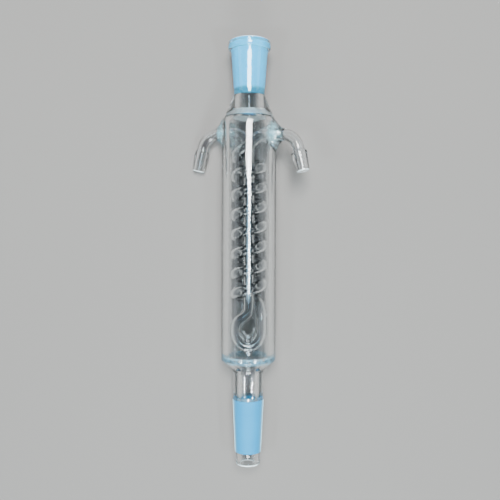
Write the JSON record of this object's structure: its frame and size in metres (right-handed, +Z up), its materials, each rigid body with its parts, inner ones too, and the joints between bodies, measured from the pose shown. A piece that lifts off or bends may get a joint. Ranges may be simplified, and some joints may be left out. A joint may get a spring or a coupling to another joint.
{
  "type": "laboratory glass condenser",
  "caption": "Glass reflux condenser: straight jacket round a helical water coil, ground socket above, ground cone and drip tube below, hose nozzles on curved side arms.",
  "frame": {"origin": "middle of the footprint as it lies: centre of the bounding box, at the level of the ground", "axes": "+Y along the glass axis from the cone toward the socket, +Z up as it lies, +X toward the raised arm"},
  "size_m": [0.0904, 0.3268, 0.0424],
  "materials": {
    "glass": "clear heavy-wall borosilicate glass, frosted on the ground cone and inside the ground socket, slightly milky where the arms are sealed through the wall"
  },
  "bodies": {
    "root": {"condenser": "glass"}
  },
  "joints": []
}
